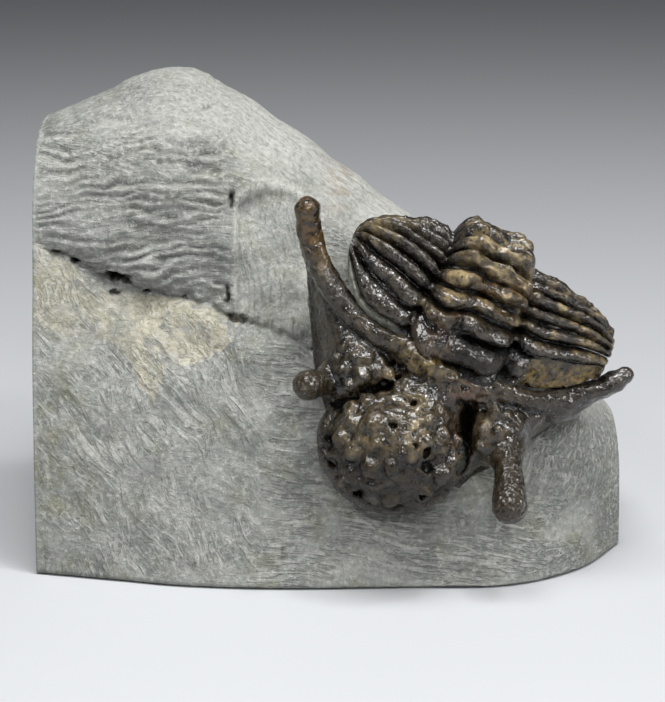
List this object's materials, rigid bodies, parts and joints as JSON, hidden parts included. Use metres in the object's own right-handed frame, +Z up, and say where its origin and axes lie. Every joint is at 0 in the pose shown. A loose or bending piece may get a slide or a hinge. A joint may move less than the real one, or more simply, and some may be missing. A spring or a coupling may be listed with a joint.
{
  "type": "trilobite fossil on rock matrix",
  "caption": "Stalk-eyed trilobite with a bulbous tuberculate head and arched ribbed body, standing out from a sloping block of limestone.",
  "frame": {"origin": "middle of the object's footprint, on the flat base of the block", "axes": "+X along the block's length, from its high sawn end to its low rounded end; -Y out of the worked front that carries the trilobite; +Z up"},
  "size_m": [0.059, 0.042, 0.0478],
  "materials": {
    "limestone": null,
    "fossil_shell": null
  },
  "bodies": {
    "root": {"matrix_block": "limestone", "cephalon": "fossil_shell", "thoracic_segment_01": "fossil_shell", "thoracic_segment_02": "fossil_shell", "thoracic_segment_03": "fossil_shell", "thoracic_segment_04": "fossil_shell", "thoracic_segment_05": "fossil_shell", "thoracic_segment_06": "fossil_shell", "thoracic_segment_07": "fossil_shell", "thoracic_segment_08": "fossil_shell", "thoracic_segment_09": "fossil_shell", "thoracic_segment_10": "fossil_shell", "thoracic_segment_11": "fossil_shell", "pygidium": "fossil_shell"}
  },
  "joints": []
}
